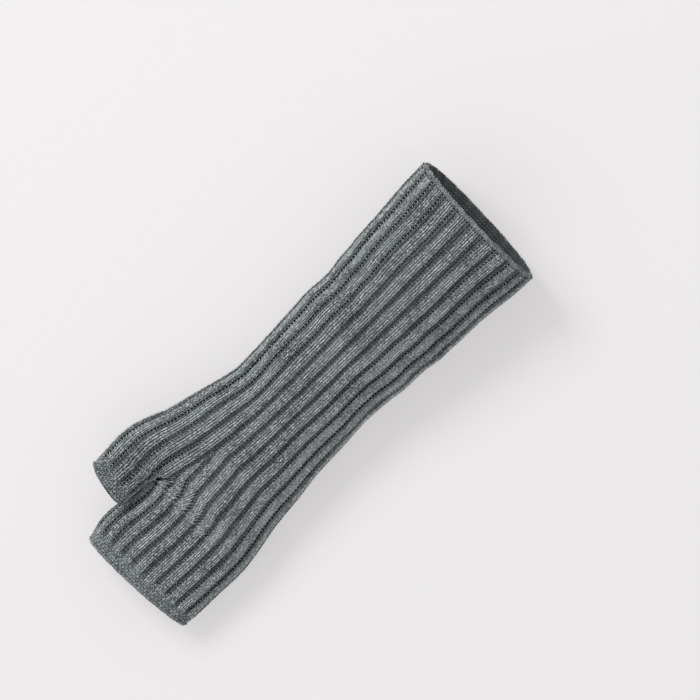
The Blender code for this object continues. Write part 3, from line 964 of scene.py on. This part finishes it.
def heather(wire, groups, stretch, flecks, **more):
    """Flecked wool on the object's own places, drawn out along the arm."""
    place = wire.scaled(wire.object_place(), (1.0, stretch, 1.0))
    dark, middle, light = [(*colour, 1.0) for colour in flecks]
    return wire.group(groups["heather"], place=place, dark=dark, middle=middle, light=light,
                      **more)


def spun(wire, groups, lay):
    """The twist of a piece's own yarn."""
    return wire.group(groups["twist"], round=wire.attribute("yarn_round")["Vector"],
                      run=wire.attribute("yarn_run")["Fac"], lay=lay)


def yarn_material(name, groups, flecks, light_share):
    """Twisted heather yarn: flecked colour, with painted shade between its plies, in the purl hollows
    and on the loops' heads and feet, and a fibrous relief.
    """
    material, shader, wire = plain_wool(name, 0.3)
    wool = heather(wire, groups, 0.5, flecks, light_share=light_share)
    twist = spun(wire, groups, 0.0032)
    # Painted shade: the colour darkens towards the dark flecks between the plies and where the
    # 'shade' attribute marks hollows.
    shade = wire.math("MAXIMUM", wire.times(twist["Ply Groove Shade"], 0.7), wire.attribute("shade")["Fac"])
    wire.plug(shader["Base Color"], wire.mix(shade, wool["Color"], (*flecks[0], 1.0)))
    wire.plug(shader["Roughness"], wire.stretch(wool["Fleck"], 0.3, 0.7, 0.95, 0.8))
    bump_into(wire, shader, twist["Height"], 0.7, 0.0002)
    return material


def web_material(name, groups, flecks, inside):
    """The knit's inside: the same wool, with the back of the stitches as relief.

    Its outside, deep between the loops, is darker: painted shade for those gaps; its own map keeps
    the two sides apart.
    """
    material, shader, wire = plain_wool(name, 0.2)
    wool = heather(wire, groups, 0.6, flecks)
    stitches = wire.group(groups["stitch"], count=wire.map_place("StitchCount"))
    side = wire.parts(wire.map_place("OFBake"))["X"]
    inner = wire.times(wire.math("GREATER_THAN", side, 0.5), 0.85)
    colour = wire.mix(inner, wool["Color"], (*inside, 1.0))
    # Painted shade: the gaps between the stitches' bumps are coloured darker.
    shade = wire.times(stitches["Stitch Gap Shade"], 0.75)
    wire.plug(shader["Base Color"], wire.mix(shade, colour, (*flecks[0], 1.0)))
    wire.plug(shader["Roughness"], wire.stretch(wool["Fleck"], 0.3, 0.7, 0.98, 0.85))
    bump_into(wire, shader, stitches["Height"], 0.9, 0.0008)
    return material


def satin_material():
    """Woven satin ribbon: fine threads across and along, with a soft gloss."""
    material, shader, wire = new_material("ivory_satin", {"Sheen Weight": 0.2})
    parts = wire.parts(wire.object_place())
    warp = wire.sine(wire.times(parts["Z"], math.tau / 0.00022))
    weft = wire.sine(wire.times(parts["Y"], math.tau / 0.0004))
    weave = wire.plus(warp, wire.times(weft, 0.5))
    slub = wire.noise(wire.object_place(), 500.0, 3.0)
    colour = wire.mix(wire.stretch(slub, 0.3, 0.7), (0.66, 0.64, 0.59, 1.0),
                      (0.78, 0.76, 0.71, 1.0))
    wire.plug(shader["Base Color"], colour)
    wire.plug(shader["Roughness"], wire.stretch(slub, 0.3, 0.7, 0.32, 0.48))
    bump_into(wire, shader, weave, 0.25, 0.00005)
    return material


def thread_material(groups):
    """Spun sewing thread, with painted shade between its plies."""
    material, shader, wire = plain_wool("ivory_thread", 0.1)
    twist = spun(wire, groups, 0.0009)
    ply_groove_shade = wire.times(twist["Ply Groove Shade"], 0.6)
    wire.plug(shader["Base Color"],
              wire.mix(ply_groove_shade, (0.62, 0.61, 0.57, 1.0), (0.30, 0.29, 0.27, 1.0)))
    shader["Roughness"].default_value = 0.6
    bump_into(wire, shader, twist["Height"], 0.6, 0.00008)
    return material


# ---- backing ----
def grid_faces(bm, grid):
    """Faces between a grid's points, each with its corners' rows and columns."""
    made = []
    for i in range(len(grid) - 1):
        for j in range(len(grid[0]) - 1):
            corners = [(i, j), (i, j + 1), (i + 1, j + 1), (i + 1, j)]
            made.append((bm.faces.new([grid[a][b] for a, b in corners]), corners))
    return made


def backing_mesh(charts, material):
    """The closed web of knit behind the loops: an outside and an inside wall with rims. The outside
    wall's dark colour is painted shade that shows between the loops.
    """
    bm = bmesh.new()
    uv = bm.loops.layers.uv.new("OFBake")
    count_map = bm.loops.layers.uv.new("StitchCount")
    walls, counts = {}, {}
    for name, chart in charts.items():
        rows, columns = chart.points.shape[:2]
        levels = chart.start + np.arange(rows)[:, None] * LEVEL_STEP
        wales = chart.wales(np.linspace(0.0, 1.0, columns)[None, :], levels)
        height = chart.height(wales, levels)
        height[:, 0] = height[:, -1] = -chart.relief(levels[:, 0]) - CREST_DOME
        counts[name] = np.stack([wales, np.broadcast_to(levels / COURSE, wales.shape)], axis=2)
        for wall, drop, part, lowest in (("out", BACKING_TOP, 1.0, OUTSIDE_LOWEST),
                                         ("in", BACKING_BOTTOM, INNER_RELIEF, INSIDE_LOWEST)):
            points = chart.points + chart.normals * (height * part - drop)[..., None]
            points[..., 2] = np.maximum(points[..., 2], lowest)
            walls[name, wall] = [[bm.verts.new((point + SHIFT) * MM) for point in row]
                                 for row in points]
    for (name, wall), grid in walls.items():
        left = 0.0 if wall == "out" else 0.5
        base, wide = MAP_PLACES[name]
        rows, columns = len(grid) - 1, len(grid[0]) - 1
        for face, corners in grid_faces(bm, grid):
            for loop, (a, b) in zip(face.loops, corners):
                loop[uv].uv = (left + MAP_EDGE + MAP_TALL * a / rows,
                               base + MAP_EDGE + wide * b / columns)
                loop[count_map].uv = counts[name][a, b]
    rims = (("hand", 0), ("hand", -1), ("thumb", 0), ("thumb", -1))
    for strip, (name, row) in enumerate(rims):
        rim = [walls[name, "out"][row], walls[name, "in"][row]]
        for face, corners in grid_faces(bm, rim):
            for loop, (a, b) in zip(face.loops, corners):
                loop[uv].uv = (0.001 + 0.99 * b / len(rim[0]),
                               RIM_BASE + strip * RIM_STEP + a * RIM_WIDE)
    bmesh.ops.remove_doubles(bm, verts=bm.verts, dist=0.02 * MM)
    open_edges = [edge for edge in bm.edges if len(edge.link_faces) == 1]
    bmesh.ops.holes_fill(bm, edges=open_edges, sides=8)
    piece = in_scene("knit_backing_gap_shade", plain_mesh("knit_backing_gap_shade", bm, material))
    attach(piece, "root")
    return piece


# ---- label ----
def label_sheet(material):
    """A blank satin label folded in two, its fold towards the hand and its ends in the seam."""
    low, high = [np.array(corner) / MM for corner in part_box("care_label")]
    width = high[2] - low[2]
    length = high[1] - low[1] - LABEL_FOLD
    top = high[0] - LABEL_LEAF / 2.0
    leaf = np.linspace(0.0, 1.0, 16)
    path = [(top, high[1] - length * share, 1.0, 0.0) for share in leaf]
    path += [(top - LABEL_FOLD + LABEL_FOLD * math.cos(turn),
              high[1] - length - LABEL_FOLD * math.sin(turn), math.cos(turn), -math.sin(turn))
             for turn in np.linspace(0.0, math.pi, 9)[1:-1]]
    path += [(top - 2.0 * LABEL_FOLD, high[1] - length * share, -1.0, 0.0)
             for share in leaf[::-1]]
    bm = bmesh.new()
    columns = 18
    layers = []
    for sign in (0.5, -0.5):
        rows = []
        for x, y, side_x, side_y in path:
            row = []
            for j in range(columns + 1):
                z = low[2] + width * j / columns
                curl = 0.12 * math.sin(0.5 * y) * math.sin(0.6 * z + 0.2 * y)
                thick = LABEL_LEAF * (1.25 if j in (0, 1, columns - 1, columns) else 1.0)
                row.append(bm.verts.new(((x + sign * thick * side_x + curl) * MM,
                                         (y + sign * thick * side_y) * MM, z * MM)))
            rows.append(row)
        layers.append(rows)
    for rows in layers:
        grid_faces(bm, rows)
    for end in (0, -1):
        grid_faces(bm, [[row[end] for row in rows] for rows in layers])
        grid_faces(bm, [rows[end] for rows in layers])
    mesh = plain_mesh("blank_label", bm, material)
    mesh.set_sharp_from_angle(angle=math.radians(50.0))
    piece = in_scene("blank_label", mesh)
    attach(piece, "root")
    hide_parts("care_label")
    return piece


def label_thread_path():
    """Zigzag of the thread that holds the label's sewn end."""
    low, high = [np.array(corner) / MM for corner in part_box("label_stitches")]
    corners = np.array([(high[0] - 0.25, high[1] - 0.3 if i % 2 else low[1] + 0.3,
                         low[2] + (high[2] - low[2]) * i / (LABEL_STITCHES - 1))
                        for i in range(LABEL_STITCHES)]) - SHIFT
    places = np.linspace(0.0, LABEL_STITCHES - 1.0, 130)
    return columns_at(corners, np.arange(LABEL_STITCHES), places)


# ---- stage, light and camera ----
def add_stage():
    mesh = bpy.data.meshes.new("studio_floor")
    half = 6.0
    mesh.from_pydata([(-half, -half, 0), (half, -half, 0), (half, half, 0), (-half, half, 0)],
                     [], [(0, 1, 2, 3)])
    finish = {"Base Color": (0.36, 0.353, 0.356, 1.0), "Emission Color": (1.0, 0.98, 0.987, 1.0),
              "Emission Strength": 0.46, "Roughness": 0.95, "Specular IOR Level": 0.05}
    mesh.materials.append(new_material("pale_floor", finish)[0])
    floor = in_scene("studio_floor", mesh)


def add_light(name, place, aim, size, power):
    light = bpy.data.lights.new(name, "AREA")
    light.shape = "DISK"
    light.size = size
    light.energy = power
    lamp = in_scene(name, light)
    lamp.location = place
    lamp.rotation_euler = (Vector(place) - Vector(aim)).to_track_quat("Z", "Y").to_euler()


def add_lights():
    world = bpy.data.worlds.new("studio_world")
    bpy.context.scene.world = world
    world.use_nodes = True
    world.node_tree.nodes["Background"].inputs["Color"].default_value = (1.0, 1.0, 1.0, 1.0)
    world.node_tree.nodes["Background"].inputs["Strength"].default_value = 0.66
    add_light("key", (-1.5, 0.2, 1.7), (0.0, 0.0, 0.03), 1.0, 30.0)
    add_light("fill", (0.8, -0.9, 2.2), (0.0, 0.0, 0.03), 2.0, 3.0)


def add_camera():
    """Looks down at the palm, a little from the arm's side, with the arm to the upper right."""
    turn = math.atan2(0.712, 0.702)
    tilt = math.radians(8.0)
    aim = Vector((1.4 + SHIFT_X, 184.9 + SHIFT_Y, 30.0))
    distance, field = 3500.0, 399.3
    data = bpy.data.cameras.new("camera")
    data.sensor_width = 36.0
    data.lens = data.sensor_width * distance / field
    camera = in_scene("camera", data)
    back = Vector((0.0, math.sin(tilt), math.cos(tilt)))
    camera.location = (aim + back * distance) * MM
    camera.rotation_euler = (Matrix.Rotation(-tilt, 3, "X")
                             @ Matrix.Rotation(turn, 3, "Z")).to_euler()
    bpy.context.scene.camera = camera
    bpy.context.scene.view_settings.view_transform = "Standard"


def knit_all(kit, hand_chart, thumb_chart):
    """Every course of the glove, in bands, and its three bound-off edges."""
    first = MEET_LEVEL + COURSE / 2.0
    arm_levels = np.arange(first, GLOVE_LENGTH - 1.0, COURSE)
    for band in range(0, len(arm_levels), BAND_COURSES):
        lines = [join_runs([loop_run(hand_chart, level, c), loop_run(thumb_chart, level, c)])
                 for c, level in enumerate(arm_levels[band:band + BAND_COURSES])]
        knit_piece(kit, f"arm_knit_{band // BAND_COURSES + 1}", lines, "rib_knit", True)
    for name, chart, end in (("hand_knit", hand_chart, HAND_WELT),
                             ("thumb_knit", thumb_chart, THUMB_END_LEVEL + THUMB_WELT)):
        levels = np.arange(first - COURSE, end, -COURSE)
        lines = [loop_run(chart, level, c, ring=True) for c, level in enumerate(levels)]
        knit_piece(kit, name, lines, "rib_knit", True)
    for name, chart, start, height in (("hand_welt", hand_chart, 0.0, HAND_WELT),
                                       ("thumb_welt", thumb_chart, THUMB_END_LEVEL, THUMB_WELT)):
        levels = np.arange(start + WELT_START, start + height, WELT_COURSE)
        lines = [loop_run(chart, level, c, True, True) for c, level in enumerate(levels)]
        knit_piece(kit, name + "_knit", lines, "welt_knit", True, loop_height=WELT_LOOP_HEIGHT)
        edge = edge_links(chart, start, -1.0, WELT_EDGE_WIDTH)
        knit_piece(kit, name + "_edge", edge, "welt_knit")
    edge = [link for chart in (hand_chart, thumb_chart)
            for link in edge_links(chart, GLOVE_LENGTH, 1.0, ARM_EDGE_WIDTH)]
    knit_piece(kit, "arm_welt_edge", edge, "welt_knit")


def sew_all(kit):
    """The seams inside, the darned-in yarn ends and the label's stitches."""
    seams = (("side_seam", trunk_oval, HAND_WELT, GLOVE_LENGTH - 4.0, 0.0, -1.0),
             ("thumb_seam", thumb_oval, THUMB_END_LEVEL + 1.0, FORK_LEVEL + 12.0, math.pi, 1.0))
    for name, oval, low, high, turn, out in seams:
        links = seam_links(oval, low, high, turn, SEAM_INSET, out)
        seam = knit_piece(kit, name + "_chain", links, "darning_yarn",
                          yarn_radius=PLY_RADIUS * MM)
        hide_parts(name)
    ends = (("hand_yarn_tail", trunk_oval, HAND_WELT + 5.0, 20.0, TAIL_SWEEP),
            ("arm_yarn_tail", trunk_oval, GLOVE_LENGTH - 9.0, -20.0, -TAIL_SWEEP),
            ("thumb_yarn_tail", thumb_oval, THUMB_END_LEVEL + THUMB_WELT / 2.0, 100.0,
             1.5 * TAIL_SWEEP))
    for name, oval, level, start, sweep in ends:
        path = yarn_end_path(oval, level, start, sweep, SEAM_INSET)
        strands = plied_strands(path, 2, PLY_RADIUS, PLY_LAY)
        piece = knit_piece(kit, name.replace("tail", "end"), strands, "darning_yarn",
                           yarn_radius=PLY_RADIUS * MM, looseness=0.0)
        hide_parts(name)
    piece = knit_piece(kit, "label_thread", plied_strands(label_thread_path(), 1, 0.0, 1.0),
                       "sewing_thread", yarn_radius=THREAD_RADIUS * MM, looseness=0.0,
                       yarn_sides=6)
    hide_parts("label_stitches")


def main():
    hand, thumb = build_charts()
    hand, thumb = soften(hand), soften(thumb)
    hand_normal, thumb_normal = chart_normals(hand, thumb)
    charts = {
        "hand": Chart(0.0, hand, hand_normal, hand_range, HAND_EDGE_WALE, 0.0),
        "thumb": Chart(THUMB_CHART_START, thumb, thumb_normal, thumb_range, THUMB_EDGE_WALE,
                       THUMB_END_LEVEL),
    }
    groups = {"heather": heather_group(), "twist": yarn_twist_group(),
              "stitch": stitch_relief_group()}
    kit = {
        "loops": knit_loop_tree(),
        "rib_knit": yarn_material("charcoal_heather_rib", groups, RIB_FLECKS, 0.85),
        "welt_knit": yarn_material("charcoal_heather_welt", groups, WELT_FLECKS, 0.8),
        "darning_yarn": yarn_material("charcoal_seam_yarn", groups, SEAM_FLECKS, 0.4),
        "sewing_thread": thread_material(groups),
    }
    web_wool_gap_shade = web_material("charcoal_web_gap_shade", groups, WEB_GAP_SHADE_FLECKS, WEB_INSIDE)

    backing = backing_mesh(charts, web_wool_gap_shade)
    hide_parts("rib_body", "thumb_sleeve", "hand_welt", "arm_welt", "thumb_welt")
    knit_all(kit, charts["hand"], charts["thumb"])
    sew_all(kit)
    label_sheet(satin_material())

    add_stage()
    add_lights()
    add_camera()


main()
